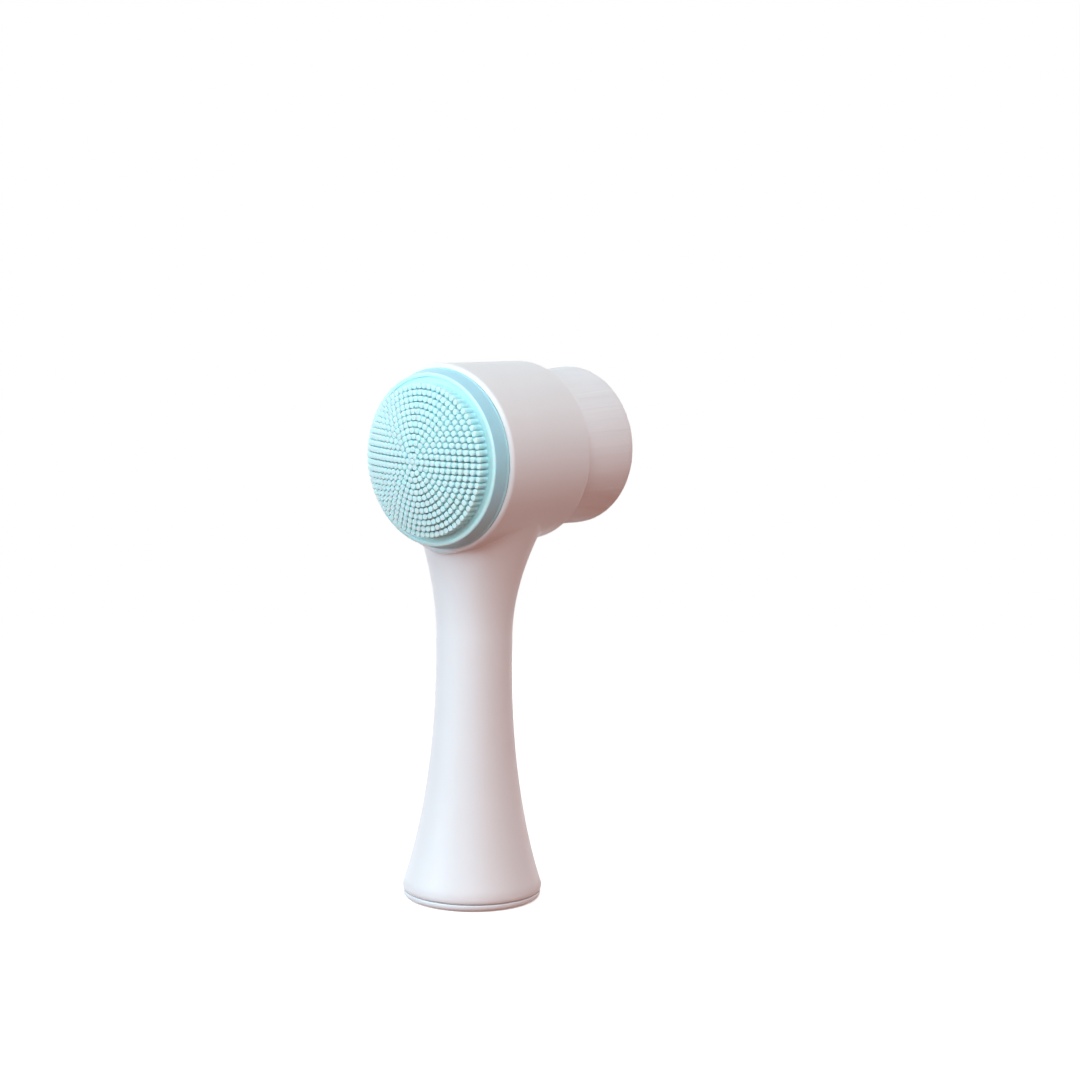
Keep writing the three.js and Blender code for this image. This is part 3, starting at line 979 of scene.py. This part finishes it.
def side_fibres(material):
    """Full-length fibres round the outside of the bundle."""
    chance = random.Random(4)
    vertices, faces, shades = [], [], []
    along = [
        SPREAD_START - 0.3,
        SPREAD_START + 0.8,
        *np.linspace(SPREAD_START + 4, SPREAD_END, 4),
        BUNDLE_END - 2.2,
    ]
    for i in range(SIDE_FIBRES):
        angle = 2 * math.pi * (i + chance.uniform(-0.35, 0.35)) / SIDE_FIBRES
        inset = 0.07 + chance.uniform(0.0, 0.03)
        radius = BUNDLE_RADIUS - inset
        centre = (radius * math.cos(angle), radius * math.sin(angle))
        stops = [((bundle_radius(a) - inset) / radius, a) for a in along]
        tip = bundle_end(radius) - chance.uniform(0.0, 0.3)
        stops.append((stops[-1][0], max(tip, BUNDLE_END - 2.0)))
        shade, turn = chance.random(), chance.uniform(0, 2)
        add_fibre(vertices, faces, shades, centre, stops, SIDE_FIBRE_RADIUS, shade, turn)
    return fibre_piece("side_fibres", material, vertices, faces, shades)


def fibre_tips(material):
    """The ends of the fibres over the bundle's end, on a jittered honeycomb."""
    chance = random.Random(9)
    vertices, faces, shades = [], [], []
    rows = int(BUNDLE_RADIUS / ROW_PITCH) + 1
    for row in range(-rows, rows + 1):
        for column in range(-rows, rows + 1):
            x = (column + 0.5 * (row % 2) + chance.uniform(-0.3, 0.3)) * TIP_PITCH
            z = row * ROW_PITCH + chance.uniform(-0.3, 0.3) * TIP_PITCH
            radius = math.hypot(x, z)
            if radius > BUNDLE_RADIUS - 0.45:
                continue
            end = bundle_end(radius) - chance.uniform(0.0, 0.22)
            stops = [(1.0, end - 2.2), (1.0, end - 0.25), (1.0, end)]
            shade, turn = chance.random(), chance.uniform(0, 2)
            add_fibre(vertices, faces, shades, (x, z), stops, TIP_RADIUS, shade, turn)
    return fibre_piece("fibre_tips", material, vertices, faces, shades)


# ------------------------------------------------------------------ studio
def light_path_white(tree):
    """Output that is above 0 for camera, glossy and transmission rays."""
    path = tree.nodes.new("ShaderNodeLightPath")
    total = path.outputs["Is Camera Ray"]
    for ray in ("Is Glossy Ray", "Is Transmission Ray"):
        node = tree.nodes.new("ShaderNodeMath")
        node.operation = "MAXIMUM"
        tree.links.new(total, node.inputs[0])
        tree.links.new(path.outputs[ray], node.inputs[1])
        total = node.outputs["Value"]
    return total


def seen_or_hidden(tree, seen, colour, hidden):
    """Colour output: one colour where the camera sees it, another for the light it sends on."""
    mix = tree.nodes.new("ShaderNodeMix")
    mix.data_type = "RGBA"
    sockets = {s.identifier: s for s in mix.inputs}
    tree.links.new(seen, sockets["Factor_Float"])
    sockets["A_Color"].default_value = (*hidden, 1)
    sockets["B_Color"].default_value = (*colour, 1)
    return {s.identifier: s for s in mix.outputs}["Result_Color"]


AMBIENT = (0.19, 0.115, 0.09)
WHITE = (1, 1, 1)
FLOOR_WHITE = (0.93, 0.93, 0.93)
FLOOR_BOUNCE = (0.31, 0.075, 0.035)
FLOOR_LIFT = 0.65  # own glow that brings the lit floor up to white where it is seen


def make_world():
    world = bpy.data.worlds.new("studio")
    bpy.context.scene.world = world
    world.use_nodes = True
    tree = world.node_tree
    background = tree.nodes["Background"]
    sky = seen_or_hidden(tree, light_path_white(tree), WHITE, AMBIENT)
    tree.links.new(sky, background.inputs["Color"])
    background.inputs["Strength"].default_value = 1.0


def make_floor():
    """Pale disc that keeps the shadow and fades into the white background at its edge."""
    radius, sides, level = 700, 96, -0.1
    vertices, rings = [(0, 0, level)], [range(0, 1)]
    for share in (0.1, 0.25, 0.5, 0.75, 1.0):
        rings.append(range(len(vertices), len(vertices) + sides))
        vertices += [
            about_handle(radius * share, level, 2 * math.pi * i / sides) for i in range(sides)
        ]
    mesh = bpy.data.meshes.new("floor")
    mesh.from_pydata((np.array(vertices) * MM).tolist(), [], grid_faces(rings))
    floor = bpy.data.objects.new("floor", mesh)
    bpy.context.scene.collection.objects.link(floor)
    material = bpy.data.materials.new("pale_floor")
    material.use_nodes = True
    tree = material.node_tree
    tree.nodes.remove(tree.nodes["Principled BSDF"])
    seen = light_path_white(tree)
    diffuse = tree.nodes.new("ShaderNodeBsdfDiffuse")
    paint = seen_or_hidden(tree, seen, FLOOR_WHITE, FLOOR_BOUNCE)
    tree.links.new(paint, diffuse.inputs["Color"])
    glow = tree.nodes.new("ShaderNodeEmission")
    lift = tree.nodes.new("ShaderNodeMath")
    lift.operation = "MULTIPLY"
    lift.inputs[1].default_value = FLOOR_LIFT
    tree.links.new(seen, lift.inputs[0])
    tree.links.new(lift.outputs["Value"], glow.inputs["Strength"])
    lit = tree.nodes.new("ShaderNodeAddShader")
    tree.links.new(diffuse.outputs["BSDF"], lit.inputs[0])
    tree.links.new(glow.outputs["Emission"], lit.inputs[1])
    clear = tree.nodes.new("ShaderNodeBsdfTransparent")
    place = tree.nodes.new("ShaderNodeTexCoord")
    distance = tree.nodes.new("ShaderNodeVectorMath")
    distance.operation = "LENGTH"
    tree.links.new(place.outputs["Object"], distance.inputs[0])
    fade = tree.nodes.new("ShaderNodeMapRange")
    fade.interpolation_type = "SMOOTHSTEP"
    fade.inputs["From Min"].default_value = 0.15
    fade.inputs["From Max"].default_value = 0.45
    tree.links.new(distance.outputs["Value"], fade.inputs["Value"])
    blend = tree.nodes.new("ShaderNodeMixShader")
    tree.links.new(fade.outputs["Result"], blend.inputs["Fac"])
    tree.links.new(lit.outputs["Shader"], blend.inputs[1])
    tree.links.new(clear.outputs["BSDF"], blend.inputs[2])
    tree.links.new(blend.outputs["Shader"], tree.nodes["Material Output"].inputs["Surface"])
    mesh.materials.append(material)


def softbox(name, bearing, elevation, power, colour):
    """Square area lamp aimed at the object; its bearing is measured from the camera's."""
    distance, size = 0.9, 0.55
    data = bpy.data.lights.new(name, "AREA")
    data.shape = "SQUARE"
    data.size = size
    data.energy = power
    data.color = colour
    lamp = bpy.data.objects.new(name, data)
    aim = Vector((0.0, 0.0, 0.09))
    back = direction(CAMERA_AZIMUTH + math.radians(bearing), math.radians(elevation))
    lamp.location = aim + back * distance
    lamp.rotation_mode = "QUATERNION"
    lamp.rotation_quaternion = (-back).to_track_quat("-Z", "Y")
    lamp.visible_camera = False
    bpy.context.scene.collection.objects.link(lamp)


def make_lamps():
    softbox("key", -68, 18, 6.0, (0.66, 0.87, 1.0))
    softbox("high_front", 2, 48, 6.2, (0.72, 0.92, 1.0))
    softbox("low_front", 0, 15, 0.3, (0.9, 0.95, 1.0))
    softbox("warm_front", 40, 20, 0.9, (1.0, 0.25, 0.15))
    for side in (-1, 1):
        softbox("back", side * 150, 8, 1.8, (0.95, 0.96, 1.0))


# ------------------------------------------------------------------ assembly
def build():
    body_shell(shell_plastic())
    base_cap(cap_plastic())
    silicone_pad(aqua_silicone())
    natural = cartridge_plastic()
    pad_carrier(natural)
    bristle_cup(natural)
    root_resin(set_resin())
    fibre = white_fibre()
    fibre_core(fibre)
    side_fibres(fibre)
    fibre_tips(fibre)


build()
make_world()
make_floor()
make_lamps()
bpy.context.scene.view_settings.view_transform = "Standard"
